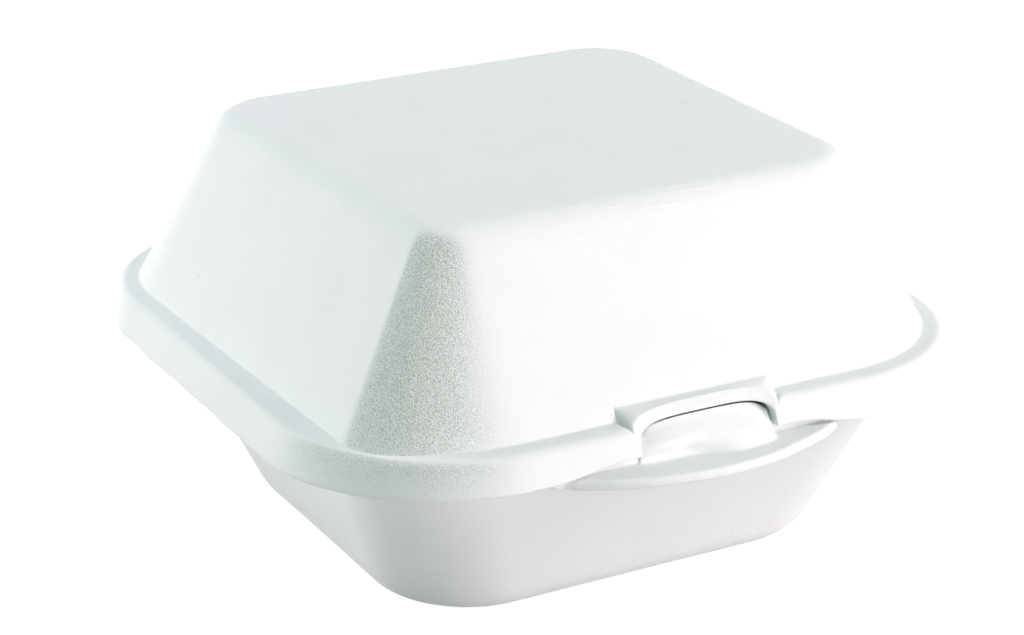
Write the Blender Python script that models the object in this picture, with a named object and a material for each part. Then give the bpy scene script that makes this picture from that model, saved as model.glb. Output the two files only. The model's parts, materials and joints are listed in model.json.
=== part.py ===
"""A closed foam clamshell food box: a tray and a deeper lid, formed from one sheet and folded at the back.

Frame: metres, +Z up, the latch at -Y, the fold at +Y, and the origin at the middle of the tray's underside.

Both pieces are drawn as sections, which are carried round the box's rounded outline. A section's points are
(inset, height): inset is measured inward from the outline of the lid's skirt, and height is measured up from
the skirt's lower edge.
"""
import math
from collections import namedtuple

import bmesh
import bpy
from mathutils import Vector

# Outline and overall heights
RIM_WIDTH = 0.1493
RIM_DEPTH = 0.1483
RIM_CORNER_RADIUS = 0.0376
BASE_DEPTH = 0.038
LID_HEIGHT = 0.0432
SHEET = 0.0022

# Lid: skirt, ledge and dome
SKIRT_HEIGHT = 0.0065
SKIRT_FLARE = 0.0027
SKIRT_DROP = 0.0009
LEDGE_WIDTH = 0.00405
LEDGE_RISE = 0.0003
LID_TOP_INSET_SIDE = 0.02415
LID_TOP_INSET_FRONT = 0.0248
LID_TOP_INSET_BACK = 0.0273
LID_TOP_FILLET = 0.0065
LEDGE_CREASE_RADIUS = 0.0006
LEDGE_EDGE_RADIUS = 0.0024

# Tray: walls and underside
WALL_INSET = 0.0116
WALL_CORNER_RADIUS = 0.0224
FOOT_INSET_SIDE = 0.02665
FOOT_INSET_FRONT = 0.0261
FOOT_INSET_BACK = 0.0350
FOOT_CORNER_RADIUS = 0.0192
FOOT_FILLET = 0.0105
RIM_BEND_RADIUS = 0.0012

# How the tray's rim nests in the lid's skirt
SEAT_GAP = 0.00035
NEST_GAP = 0.00045
RIM_LEG = 0.0038

# Latch: the hood and window in the lid
HOOD_HALF_WIDTH = 0.0172
HOOD_HEIGHT = 0.0024
HOOD_SETBACK = 0.0017
HOOD_BROW_HALF_WIDTH = 0.0160
HOOD_END_STEP = 0.0004
WINDOW_HALF_WIDTH = 0.0150
WINDOW_LINTEL = 0.0001
SKIRT_RELIEF = 0.0016
RELIEF_END_LEFT = 0.033
RELIEF_END_RIGHT = 0.037

# Latch: the lip and button on the tray
LIP_REACH = 0.0067
LIP_HALF_WIDTH = 0.0265
LIP_GAP = 0.0003
BUTTON_GAP = 0.0005
BUTTON_HEADROOM = 0.0012
BUTTON_BELLY = 0.0034
BUTTON_BELLY_HEIGHT = 0.0027
BUTTON_FOOT = 0.0021
BUTTON_SHOULDER = 0.0009

# Fold at the back
HINGE_HALF_WIDTH = 0.036
HINGE_REACH = 0.00415
HINGE_SLIT = 0.0003
HINGE_END_STEP = 0.0004

# Free edges and how curves are drawn: LEG_SHARE is the most of a straight that one rounded corner takes
EDGE_RADIUS = 0.0007
LEG_SHARE = 0.45
SHARP_ANGLE = math.radians(35)
CORNER_STEPS = 8
FILLET_STEPS = 4
BEND_STEPS = 2
ARCH_STEPS = 6
ARCH_POWER = 4.0
BROW_POWER = 3.0
LIP_STEPS = 5

# Where the button's back slopes down to the rim, as shares of the rim's width from its shoulder to the wall
BACK_FOOT_SHARE = 0.4
BACK_TOP_INSIDE_SHARE = 0.4
BACK_FOOT_INSIDE_SHARE = 0.7

# Finish
LID_COLOUR = (0.90, 0.93, 0.925)
BASE_COLOUR = (0.88, 0.89, 0.90)
SKIN_ROUGHNESS = 0.5

# Heights and slopes that follow from the sizes above
FLARE = SKIRT_FLARE / SKIRT_HEIGHT
FLARE_STRETCH = math.hypot(1.0, FLARE)
LEDGE_HEIGHT = SKIRT_HEIGHT + LEDGE_RISE
LEDGE_FOOT_INSET = SKIRT_FLARE + LEDGE_WIDTH
RIM_TOP = SKIRT_HEIGHT - SHEET - SEAT_GAP
RIM_LOW = RIM_TOP - RIM_LEG
EDGE_FACE = 2 * EDGE_RADIUS
RIM_END = RIM_LOW + EDGE_FACE
HOOD_TOP = LEDGE_HEIGHT + HOOD_HEIGHT
WINDOW_TOP = HOOD_TOP - SHEET - WINDOW_LINTEL
BUTTON_HALF_WIDTH = WINDOW_HALF_WIDTH - BUTTON_GAP
STRAIGHT_HALF = RIM_WIDTH / 2 - RIM_CORNER_RADIUS
HINGE_Y = RIM_DEPTH / 2 + HINGE_REACH
HINGE_Z = BASE_DEPTH - SEAT_GAP / 2

Column = namedtuple("Column", "kind side_sign end_sign value")
Row = namedtuple("Row", "inset height wall")


def mix(a, b, share):
    """The value that lies the given share of the way from a to b."""
    return a + (b - a) * share


def smooth_step(low, high, value):
    """0 below low, 1 above high, and a smooth rise between them."""
    share = min(max((value - low) / (high - low), 0.0), 1.0)
    return share * share * (3.0 - 2.0 * share)


def arch(x, half_width, power=ARCH_POWER):
    """Height of a flat-topped arch at x, from 1 in the middle to 0 at its ends."""
    share = min(abs(x) / half_width, 1.0)
    return (1.0 - share ** power) ** (1.0 / power)


def arch_places(half_width):
    """Places from the middle to the end of an arch, closer together where it falls steeply."""
    angles = [math.pi / 2 * i / ARCH_STEPS for i in range(ARCH_STEPS + 1)]
    return [half_width * math.sin(angle) ** (2.0 / ARCH_POWER) for angle in angles]


def rounded(before, corner, after, radius, steps):
    """Points of a rounded corner, which takes no more than its share of each straight beside it."""
    back = Vector(before) - Vector(corner)
    ahead = Vector(after) - Vector(corner)
    turn = math.pi - back.angle(ahead)
    reach = min(radius * math.tan(turn / 2), back.length * LEG_SHARE, ahead.length * LEG_SHARE)
    start = Vector(corner) + back.normalized() * reach
    end = Vector(corner) + ahead.normalized() * reach
    points = []
    for i in range(steps + 1):
        share = i / steps
        first = start.lerp(Vector(corner), share)
        second = Vector(corner).lerp(end, share)
        points.append(tuple(first.lerp(second, share)))
    return points


def blunted(before, corner, after):
    """Two points that take the sharp tip off a free edge's corner."""
    points = []
    for other in (before, after):
        leg = Vector(other) - Vector(corner)
        points.append(tuple(Vector(corner) + leg.normalized() * min(EDGE_RADIUS, leg.length * LEG_SHARE)))
    return points


def lid_section(top_inset, edge, shoulder=SKIRT_HEIGHT, crease=LEDGE_HEIGHT, tab=0.0, setback=0.0):
    """The lid's closed section, from the outside of its top round its lower edge to the inside of its top.

    edge is the height of the skirt's lower edge, shoulder that of the ledge's outer corner, and crease that
    of the line where the ledge meets the wall. tab says how far the skirt's edge is turned out for the fold,
    and setback how far the top of the hood leans back from the skirt's slope, which it leaves above the rim.
    """
    slope = (top_inset - LEDGE_FOOT_INSET) / (LID_HEIGHT - LEDGE_HEIGHT)
    stretch = math.hypot(1.0, slope)

    def wall(height, depth):
        return LEDGE_FOOT_INSET + slope * (height - LEDGE_HEIGHT) + depth * stretch, height

    def skirt(height, depth):
        lean = setback * max(height - RIM_TOP, 0.0) / (HOOD_TOP - RIM_TOP)
        return FLARE * height + lean + depth * FLARE_STRETCH, height

    top = wall(LID_HEIGHT, 0.0)
    centre = (RIM_WIDTH / 2, LID_HEIGHT)
    foot = wall(crease, 0.0)
    brow = skirt(shoulder, 0.0)
    if tab > 0.0:
        root = skirt(edge + SHEET, 0.0)
        tip_above = (-tab, edge + SHEET)
        tip_below = (-tab, edge)
    else:
        root = skirt(edge + EDGE_FACE + EDGE_RADIUS, 0.0)
        tip_above = skirt(edge + EDGE_FACE, 0.0)
        tip_below = skirt(edge, 0.0)
    heel = skirt(edge, SHEET)
    brow_inside = skirt(max(shoulder - SHEET, edge + WINDOW_LINTEL), SHEET)
    foot_inside = wall(crease - SHEET, SHEET)
    top_inside = wall(LID_HEIGHT - SHEET, SHEET)
    centre_inside = (RIM_WIDTH / 2, LID_HEIGHT - SHEET)

    points = rounded(centre, top, foot, LID_TOP_FILLET, FILLET_STEPS)
    points += rounded(top, foot, brow, LEDGE_CREASE_RADIUS, BEND_STEPS)
    points += rounded(foot, brow, root, LEDGE_EDGE_RADIUS, BEND_STEPS)
    points += [root, tip_above]
    points += blunted(tip_above, tip_below, heel)
    points += blunted(tip_below, heel, brow_inside)
    points += [brow_inside, foot_inside]
    points += rounded(foot_inside, top_inside, centre_inside, LID_TOP_FILLET - SHEET, FILLET_STEPS)
    return [Row(inset, height, None) for inset, height in points]


def skirt_edge(x):
    """Height of the skirt's lower edge along the front, raised near the latch and again in its window.

    Its left end is level with the tray's lip, and its right end hangs as low as the edge on the sides.
    """
    end, end_height = (RELIEF_END_RIGHT, -SKIRT_DROP) if x > 0.0 else (RELIEF_END_LEFT, 0.0)
    relief = mix(SKIRT_RELIEF, end_height, smooth_step(HOOD_HALF_WIDTH, end, abs(x)))
    return relief + (WINDOW_TOP - SKIRT_RELIEF) * arch(x, WINDOW_HALF_WIDTH)


def lid_front(x):
    """The lid's section on the front side at x, where the ledge's outer corner bows up over the window."""
    bow = arch(x, HOOD_BROW_HALF_WIDTH, BROW_POWER)
    shoulder = mix(SKIRT_HEIGHT, HOOD_TOP, bow)
    crease = HOOD_TOP if abs(x) < HOOD_HALF_WIDTH else LEDGE_HEIGHT
    return lid_section(LID_TOP_INSET_FRONT, skirt_edge(x), shoulder, crease, setback=HOOD_SETBACK * bow)


def lid_back(x):
    """The lid's section on the fold side at x, with a tab turned out along the fold."""
    tab = HINGE_REACH - HINGE_SLIT / 2 if abs(x) <= HINGE_HALF_WIDTH else 0.0
    edge = 0.0 if abs(x) <= HINGE_HALF_WIDTH + HINGE_END_STEP else -SKIRT_DROP
    return lid_section(LID_TOP_INSET_BACK, edge, tab=tab)


def lid_side():
    """The lid's section on its two sides."""
    return lid_section(LID_TOP_INSET_SIDE, -SKIRT_DROP)


def lip_tip(x):
    """Inset of the lip's outer edge along the front: a round arc, drawn in behind the skirt at its ends."""
    radius = (LIP_HALF_WIDTH ** 2 + LIP_REACH ** 2) / (2 * LIP_REACH)
    fall = radius - math.sqrt(max(radius ** 2 - x ** 2, 0.0))
    return fall - LIP_REACH


def lip_end():
    """The place along the front where the lip is drawn in behind the skirt."""
    radius = (LIP_HALF_WIDTH ** 2 + LIP_REACH ** 2) / (2 * LIP_REACH)
    fall = LIP_REACH + rim_leg(-LIP_GAP, 0.0)
    return math.sqrt(radius ** 2 - (radius - fall) ** 2)


def rim_leg(height, depth):
    """Inset of the tray rim's turned-down leg, which runs parallel to the lid's skirt inside it."""
    return FLARE * height + (SHEET + NEST_GAP + depth) * FLARE_STRETCH


def tray_section(foot_inset, tip, low, high, pillow, bead_top):
    """The tray's closed section, from its underside round its rim to its floor.

    tip is the inset of the rim's outer edge, low and high are the heights below and above that edge, pillow
    says how far the latch button stands out, from 0 to 1, and bead_top is the height of the button's top.
    An edge that isn't run out past the rim's leg ends flush with it.
    """
    slope = (foot_inset - WALL_INSET) / BASE_DEPTH
    stretch = math.hypot(1.0, slope)

    def wall(height, depth):
        return WALL_INSET - slope * height + depth * stretch, height

    under = RIM_TOP - SHEET
    rise = bead_top - RIM_TOP
    floor = -BASE_DEPTH
    centre = (RIM_WIDTH / 2, floor)
    centre_inside = (RIM_WIDTH / 2, floor + SHEET)
    foot = wall(floor, 0.0)
    bend = wall(under, 0.0)
    foot_inside = wall(floor + SHEET, SHEET)
    bend_inside = wall(RIM_TOP, SHEET)

    flush = tip > rim_leg(high, 0.0) - EDGE_RADIUS
    tip = rim_leg(high, 0.0) if flush else tip
    root_height = high + EDGE_RADIUS if flush else high
    root_inset = rim_leg(root_height, 0.0)
    shoulder_inset = rim_leg(RIM_TOP, 0.0)
    belly_height = mix((RIM_TOP + high) / 2, BUTTON_BELLY_HEIGHT, pillow)
    belly_inset = rim_leg(belly_height, 0.0) - BUTTON_BELLY * pillow
    shoulder = (shoulder_inset - BUTTON_SHOULDER * pillow, bead_top)
    belly = (belly_inset, belly_height)
    root = (root_inset - BUTTON_FOOT * pillow, root_height)

    crown_inset = shoulder_inset + SHEET
    valley_inset = mix(crown_inset, bend_inside[0], BACK_FOOT_SHARE)
    crown = (crown_inset, bead_top)
    valley = (valley_inset, RIM_TOP)

    wide = SHEET * FLARE_STRETCH
    root_inside = (root[0] + wide, low)
    belly_inside = (belly[0] + wide, belly_height - SHEET / 4)
    shoulder_inside = (shoulder[0] + wide, under + rise)
    crown_inside = (mix(shoulder_inside[0], bend[0], BACK_TOP_INSIDE_SHARE), under + rise)
    valley_inside = (mix(shoulder_inside[0], bend[0], BACK_FOOT_INSIDE_SHARE), under)

    points = rounded(centre, foot, bend, FOOT_FILLET, FILLET_STEPS)
    points += rounded(foot, bend, valley_inside, RIM_BEND_RADIUS, BEND_STEPS)
    on_wall = len(points)
    points += [valley_inside, crown_inside, shoulder_inside, belly_inside, root_inside]
    points += blunted(root_inside, (tip, low), (tip, high))
    points += blunted((tip, low), (tip, high), root)
    points += [root, belly]
    points += rounded(belly, shoulder, crown, RIM_BEND_RADIUS, BEND_STEPS)
    points += [crown, valley]
    off_wall = len(points)
    points += rounded(valley, bend_inside, foot_inside, RIM_BEND_RADIUS, BEND_STEPS)
    points += rounded(bend_inside, foot_inside, centre_inside, FOOT_FILLET - SHEET, FILLET_STEPS)
    rows = []
    for index, (inset, height) in enumerate(points):
        is_wall = index < on_wall or index >= off_wall
        rows.append(Row(inset, height, wall(height, 0.0)[0] if is_wall else None))
    return rows


def tray_plain(foot_inset):
    """The tray's section where its rim is only turned down inside the skirt."""
    return tray_section(foot_inset, rim_leg(RIM_END, 0.0), RIM_LOW, RIM_END, 0.0, RIM_TOP)


def tray_front(x):
    """The tray's section on the front side at x, with the lip and the latch button."""
    tucked = smooth_step(lip_end(), STRAIGHT_HALF, abs(x))
    low = mix(-LIP_GAP - SHEET, RIM_LOW, tucked)
    high = mix(-LIP_GAP, RIM_END, tucked)
    pillow = arch(x, BUTTON_HALF_WIDTH)
    top = SKIRT_RELIEF + (WINDOW_TOP - SKIRT_RELIEF) * pillow - BUTTON_HEADROOM
    return tray_section(FOOT_INSET_FRONT, lip_tip(x), low, high, pillow, max(RIM_TOP, top))


def tray_back(x):
    """The tray's section on the fold side at x, where its rim runs out under the skirt to the fold."""
    if abs(x) <= HINGE_HALF_WIDTH:
        tip = HINGE_SLIT / 2 - HINGE_REACH
    elif abs(x) <= HINGE_HALF_WIDTH + HINGE_END_STEP:
        tip = rim_leg(RIM_LOW, 0.0)
    else:
        return tray_plain(FOOT_INSET_BACK)
    return tray_section(FOOT_INSET_BACK, tip, -SEAT_GAP - SHEET, -SEAT_GAP, 0.0, RIM_TOP)


def tray_side():
    """The tray's section on its two sides."""
    return tray_plain(FOOT_INSET_SIDE)


def mirrored(places):
    """Places from left to right: the given ones, which run outward from the middle, on both sides."""
    return [-place for place in reversed(places) if place > 0.0] + list(places)


def lid_front_places():
    """Where the lid's front sections stand: the window's arch, the hood's two ends and the raised edge."""
    places = set(arch_places(WINDOW_HALF_WIDTH))
    places.update((HOOD_BROW_HALF_WIDTH, HOOD_HALF_WIDTH - HOOD_END_STEP, HOOD_HALF_WIDTH))
    places.add((WINDOW_HALF_WIDTH + HOOD_BROW_HALF_WIDTH) / 2)
    span = RELIEF_END_RIGHT - HOOD_HALF_WIDTH
    places.update(HOOD_HALF_WIDTH + span * i / LIP_STEPS for i in range(1, LIP_STEPS))
    return mirrored(sorted(places))


def tray_front_places():
    """Where the tray's front sections stand: the button's outline and the lip's arc."""
    places = set(arch_places(BUTTON_HALF_WIDTH))
    span = lip_end() - BUTTON_HALF_WIDTH
    places.update(BUTTON_HALF_WIDTH + span * i / LIP_STEPS for i in range(1, LIP_STEPS + 1))
    return mirrored(sorted(places))


def fold_places():
    """Where the sections on the fold side stand: the tab's end, and where each edge is plain again."""
    ends = [HINGE_HALF_WIDTH + HINGE_END_STEP * i for i in range(3)]
    return mirrored([0.0] + ends)


def columns_round(front_places, back_places):
    """Every section's place on the outline, anticlockwise seen from above."""
    turns = [i / CORNER_STEPS for i in range(CORNER_STEPS + 1)]
    columns = [Column("front", 0, -1, x) for x in front_places]
    columns += [Column("corner", 1, -1, 1.0 - turn) for turn in turns]
    columns += [Column("corner", 1, 1, turn) for turn in turns]
    columns += [Column("back", 0, 1, x) for x in reversed(back_places)]
    columns += [Column("corner", -1, 1, 1.0 - turn) for turn in turns]
    columns += [Column("corner", -1, -1, turn) for turn in turns]
    return columns


def corner_radius(row):
    """Corner radius of the outline through a section's point on the sides."""
    if row.wall is None:
        return max(RIM_CORNER_RADIUS - row.inset, EDGE_RADIUS)
    share = -row.height / BASE_DEPTH
    wall_radius = mix(WALL_CORNER_RADIUS, FOOT_CORNER_RADIUS, share)
    return max(wall_radius - (row.inset - row.wall), EDGE_RADIUS)


def column_points(column, side_rows, end_rows):
    """The points of one section in the box's frame."""
    points = []
    for side, end in zip(side_rows, end_rows):
        radius = corner_radius(side)
        straight = RIM_WIDTH / 2 - side.inset - radius
        reach = RIM_DEPTH / 2 - end.inset
        if column.kind == "corner":
            angle = column.value * math.pi / 2
            x = column.side_sign * (straight + radius * math.cos(angle))
            y = reach - radius + radius * math.sin(angle)
            height = mix(side.height, end.height, math.sin(angle) ** 2)
        else:
            x = column.value * straight / STRAIGHT_HALF
            y = reach
            height = end.height
        points.append(Vector((x, column.end_sign * y, BASE_DEPTH + height)))
    return points


def shell_mesh(name, sections, origin):
    """A closed mesh through all the sections, with flat faces over the middle of both its sides."""
    mesh = bpy.data.meshes.new(name)
    shell = bmesh.new()
    grid = [[shell.verts.new(point - origin) for point in points] for points in sections]
    for here, ahead in zip(grid, grid[1:] + grid[:1]):
        for i in range(len(here) - 1):
            shell.faces.new((here[i], ahead[i], ahead[i + 1], here[i + 1]))
    shell.faces.new([column[0] for column in reversed(grid)])
    shell.faces.new([column[-1] for column in grid])
    bmesh.ops.recalc_face_normals(shell, faces=shell.faces)
    shell.to_mesh(mesh)
    shell.free()
    mesh.shade_smooth()
    mesh.set_sharp_from_angle(angle=SHARP_ANGLE)
    return mesh


def foam(name, colour):
    """White foam sheet with a soft skin."""
    material = bpy.data.materials.new(name)
    material.use_nodes = True
    shader = material.node_tree.nodes["Principled BSDF"]
    shader.inputs["Base Color"].default_value = (*colour, 1.0)
    shader.inputs["Roughness"].default_value = SKIN_ROUGHNESS
    shader.inputs["Metallic"].default_value = 0.0
    material.diffuse_color = (*colour, 1.0)
    return material


def add_piece(name, sections, origin, material):
    """Adds one foam piece to the scene, with its origin at the given place."""
    piece = bpy.data.objects.new(name, shell_mesh(name, sections, origin))
    piece.location = origin
    piece.data.materials.append(material)
    bpy.context.scene.collection.objects.link(piece)
    return piece


def build_piece(name, front_places, front, back, side_rows, origin, material):
    """Carries one piece's sections round the outline: front and back give the section at a place on x."""
    sections = []
    for column in columns_round(front_places, fold_places()):
        end = front if column.end_sign < 0 else back
        x = column.side_sign * STRAIGHT_HALF if column.kind == "corner" else column.value
        sections.append(column_points(column, side_rows, end(x)))
    return add_piece(name, sections, origin, material)


def build_lid():
    """The lid, with its origin on the fold's axis."""
    origin = Vector((0.0, HINGE_Y, HINGE_Z))
    return build_piece("lid", lid_front_places(), lid_front, lid_back, lid_side(), origin,
                       foam("lid_foam", LID_COLOUR))


def build_tray():
    """The tray, with its origin in the middle of its underside."""
    origin = Vector((0.0, 0.0, 0.0))
    return build_piece("base", tray_front_places(), tray_front, tray_back, tray_side(), origin,
                       foam("base_foam", BASE_COLOUR))


def main():
    for old in list(bpy.data.objects):
        bpy.data.objects.remove(old, do_unlink=True)
    build_tray()
    build_lid()


main()
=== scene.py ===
"""The looks of a foam clamshell food box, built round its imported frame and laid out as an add-on.

The lid and the tray are drawn as sections, which are carried round the box's rounded outline. A corner of a
section is (inset, height): inset is measured inward from the outline of the lid's skirt, and height is
measured up from the skirt's lower edge. Everything is in metres, with the latch at -Y and the fold at +Y.
"""

import json
import math
from collections import namedtuple

import bmesh
import bpy
import numpy as np
from bpy.props import FloatProperty, FloatVectorProperty, IntProperty, PointerProperty
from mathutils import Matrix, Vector, noise


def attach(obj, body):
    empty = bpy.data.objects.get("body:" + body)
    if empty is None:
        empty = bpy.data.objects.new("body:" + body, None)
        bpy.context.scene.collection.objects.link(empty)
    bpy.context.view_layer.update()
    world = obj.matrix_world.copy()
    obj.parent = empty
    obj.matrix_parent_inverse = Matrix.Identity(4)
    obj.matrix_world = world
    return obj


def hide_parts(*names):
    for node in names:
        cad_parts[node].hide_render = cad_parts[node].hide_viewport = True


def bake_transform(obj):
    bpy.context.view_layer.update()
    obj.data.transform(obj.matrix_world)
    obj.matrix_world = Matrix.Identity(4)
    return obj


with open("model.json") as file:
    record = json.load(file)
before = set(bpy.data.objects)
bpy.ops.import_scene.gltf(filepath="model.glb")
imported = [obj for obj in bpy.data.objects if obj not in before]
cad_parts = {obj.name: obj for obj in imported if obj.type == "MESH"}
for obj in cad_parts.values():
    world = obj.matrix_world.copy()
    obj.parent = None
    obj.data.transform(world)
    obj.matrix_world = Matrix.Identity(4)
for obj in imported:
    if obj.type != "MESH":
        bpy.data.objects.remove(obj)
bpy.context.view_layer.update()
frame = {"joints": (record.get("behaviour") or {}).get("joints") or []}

bl_info = {
    "name": "Foam Clamshell Box",
    "version": (1, 0, 0),
    "blender": (4, 5, 0),
    "location": "View3D > Sidebar > Foam Box",
    "description": "Builds a closed foam food box with a latched lid, its foam finish and a studio stage",
    "category": "Add Mesh",
}

FOLD = Vector(frame["joints"][0]["pos_m"])

# Steps of each rounded bend and of each run between bends, in the order of a section's corners
LID_BENDS = (0, 12, 5, 10, 2, 6, 6, 5, 4, 4, 10, 0)
LID_RUNS = (0, 4, 26, 4, 6, 1, 2, 2, 6, 2, 16, 4)
TRAY_BENDS = (0, 12, 5, 3, 3, 4, 4, 4, 5, 5, 4, 7, 7, 4, 4, 6, 10, 0)
TRAY_RUNS = (0, 4, 20, 2, 2, 2, 2, 2, 4, 2, 5, 3, 3, 2, 2, 3, 16, 4)

# Steps from the middle of each piece's flat outer and inner side to its first bend
LID_RINGS = (16, 10)
TRAY_RINGS = (8, 8)

# Least reach of a bend, in metres, and the most of a straight that one bend takes
LEAST_REACH = 0.00004
LEG_SHARE = 0.45

# Where the stand-in of the dome's near corner fades out, in metres: towards the right and towards the back
STAND_IN_ACROSS = (-0.050, -0.012)
STAND_IN_ALONG = (-0.045, 0.015)

# The noise that makes cut edges ragged and formed surfaces swell: two wavelengths in metres, and a seed
Wave = namedtuple("Wave", "coarse fine seed")
LID_RAG = Wave(0.007, 0.0021, 3.0)
LID_SWELL = Wave(0.026, 0.010, 5.0)
TRAY_RAG = Wave(0.006, 0.0018, 8.0)
TRAY_SWELL = Wave(0.024, 0.009, 11.0)

# The strip that joins the tabs: steps round it and along it, where its legs begin as a share of its outer
# radius, and how far it stops short of the tabs' ends as a share of their end radius
WEB_TURN_STEPS = 12
WEB_STEPS = 72
WEB_LEG_START = 0.6
WEB_SHORT = 0.6

# Where the fine wrinkles lie: each pair is where they fade in or out along one axis, in metres. The grid
# says how finely their pattern is drawn along each axis, and the level where its noise becomes a wrinkle
WRINKLE_LEFT = (-0.026, -0.014)
WRINKLE_RIGHT = (0.022, 0.036)
WRINKLE_BACK = (-0.0475, -0.0440)
WRINKLE_LOW = (0.0740, 0.0785)
WRINKLE_GRID = (90.0, 1500.0, 1500.0)
WRINKLE_LEVEL = (0.58, 0.66)

# Where the lid's bend left of the latch sets in and is whole. Its skin is stretched, so its grain is
# raised, and its shade band gets painted pore shade and painted glints. The mask is set by the product of
# the two level parts of the surface's direction, by the distance left of the middle, and by the height
# above the table, in metres
STRETCHED_SHADED_FACING = (0.06, 0.24)
STRETCHED_SHADED_ACROSS = (0.031, 0.037)
STRETCHED_SHADED_HEIGHT = (0.036, 0.050)

# Sizes of the skin's patterns in metres, where each noise turns into its mark, and how strongly marks show
DIMPLE_SIZE = 0.0032
CLOUD_SIZE = 0.016
CLOUD_LEVEL = (0.35, 0.70)
PATCH_SIZE = 0.030
PATCH_LEVEL = (0.48, 0.64)
SPECK_SPACING = 0.0085
SPECK_EDGE = (0.02, 0.09)
PIT_SPACING = 0.012
PIT_EDGE = (0.012, 0.03)
PIT_DEPTH = 0.00010
# The pore level is where the painted pore shade sets in on the fine noise
PORE_SHADE_LEVEL = (0.40, 0.55)
# The glint level is where painted glints, white specks standing for sparkles of light, set in on the fine
# noise
PAINTED_GLINT_LEVEL = (0.56, 0.64)
MARK_STRENGTH = 0.6
CLOUD_SHADE = 0.985
CLOUD_ROUGHNESS = 0.06
GRAIN_ROUGHNESS = 0.20
WHITE = (1.0, 1.0, 1.0, 1.0)

# The lamps: directions in degrees, from the front towards the right and upward, and powers in watts
Lamp = namedtuple("Lamp", "name azimuth elevation power tint")
LAMPS = (
    Lamp("left_lamp", -125.0, 6.0, 5.1, (1.0, 0.929, 0.95)),
    Lamp("back_lamp", -150.0, 50.0, 3.7, (0.955, 0.832, 1.0)),
    Lamp("top_lamp", -20.0, 70.0, 0.7, (1.0, 0.93, 0.95)),
    Lamp("right_lamp", 55.0, 28.0, 4.9, (1.0, 0.857, 0.918)),
    Lamp("front_lamp", 14.0, 8.0, 4.3, (1.0, 0.856, 0.908)),
)

# Half the floor's width, and the distances over which the lamps' pool of light on it ends, in metres
FLOOR_HALF = 3.0
POOL = (0.7, 1.2)

# A section's corner: where it is, its bend's radius, its own place along the front, the tray wall's inset
# at its height if it belongs to that wall, and how much tighter and shorter the outline's near bend is here
Corner = namedtuple("Corner", "inset height radius along wall tight short", defaults=(None, None, 0.0, 0.0))
Place = namedtuple("Place", "even run sign")
Column = namedtuple("Column", "kind side_sign end_sign turn place")


def setting(kind, **usual):
    """A function that makes one kind of setting that a user may change."""
    def make(name, description, default, **own):
        return kind(name=name, description=description, default=default, **{**usual, **own})

    return make


metres = setting(FloatProperty, precision=5, unit="LENGTH")
pair = setting(FloatVectorProperty, size=2, precision=5, unit="LENGTH")
share = setting(FloatProperty, min=0.0, max=1.0)
angle = setting(FloatProperty, subtype="ANGLE", unit="ROTATION")
point = setting(FloatVectorProperty, size=3, subtype="TRANSLATION", unit="LENGTH")
colour = setting(FloatVectorProperty, size=3, min=0.0, max=1.0, subtype="COLOR")
count = setting(IntProperty, min=1)


class RimSizes(bpy.types.PropertyGroup):
    """Sizes of the outline that both pieces share."""

    width: metres("Width", "Width of the lid's skirt at the tray's lip", 0.1493)
    depth: metres("Depth", "Depth of the lid's skirt at the tray's lip", 0.1483)
    corner: metres("Corner radius", "Radius of the skirt's corners", 0.0376)
    height: metres("Rim height", "Height of the tray's lip above the table", 0.038)
    sheet: metres("Sheet", "Thickness of the foam sheet", 0.0022)
    cut_edge: metres("Cut edge radius", "How far the sheet's cut edges are rounded", 0.0009)
    seat_gap: metres("Seat gap", "Gap between the lid and the tray's rim", 0.00035)
    nest_gap: metres("Nest gap", "Gap between the rim's leg and the skirt round it", 0.00045)
    rag: metres("Rag", "Unevenness of the trimmed edges", 0.00030)
    swell: metres("Swell", "Rise and fall of the formed surfaces", 0.00010)
    tuck: metres("Tuck", "How far the back-left corner of the skirt is pressed inward", 0.0011)
    tuck_range: pair("Tuck range", "Places behind the middle where it sets in and is whole", (0.030, 0.050))
    swell_foot: metres("Swell foot", "Height above the table where the swell sets in", 0.004)
    fan: metres("Fan", "Half width of the latch's sections on the plain walls", 0.022)


class LidSizes(bpy.types.PropertyGroup):
    """Sizes of the lid's dome, ledge and skirt. The near bend is the dome's corner left of the latch."""

    height: metres("Height", "Height of the lid above the tray's lip", 0.0432)
    skirt_height: metres("Skirt height", "Height of the skirt above the tray's lip", 0.0065)
    skirt_flare: metres("Skirt flare", "How far the skirt runs outward on its way down", 0.0027)
    drop: metres("Skirt drop", "How far the skirt hangs below the tray's lip", 0.0009)
    ledge_width: metres("Ledge width", "Width of the ledge round the foot of the dome", 0.00405)
    ledge_rise: metres("Ledge rise", "How much the ledge rises towards the dome", 0.0003)
    top_side: metres("Top inset, sides", "Inset of the dome's top at the sides", 0.02415)
    top_front: metres("Top inset, front", "Inset of the dome's top at the front", 0.0248)
    top_back: metres("Top inset, back", "Inset of the dome's top at the back", 0.0273)
    top_radius: metres("Top radius", "Radius of the bend round the dome's top", 0.0065)
    top_band: metres("Top band", "Width of the flat band inside the dome's top bend", 0.0095)
    tight: pair("Tight bend", "How much tighter the near bend is, at its foot and top", (0.0005, 0.0042))
    short: pair("Short bend", "How much shorter it is on the left, at its foot and top", (0.0135, 0.0036))
    stand_in: pair("Stand-in", "How far the left side stands in, at its foot and top", (0.0018, 0.0042))
    crease: metres("Crease radius", "Radius of the bend where the dome meets the ledge", 0.0007)
    brow: metres("Brow radius", "Radius of the ledge's outer bend", 0.0024)


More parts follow.
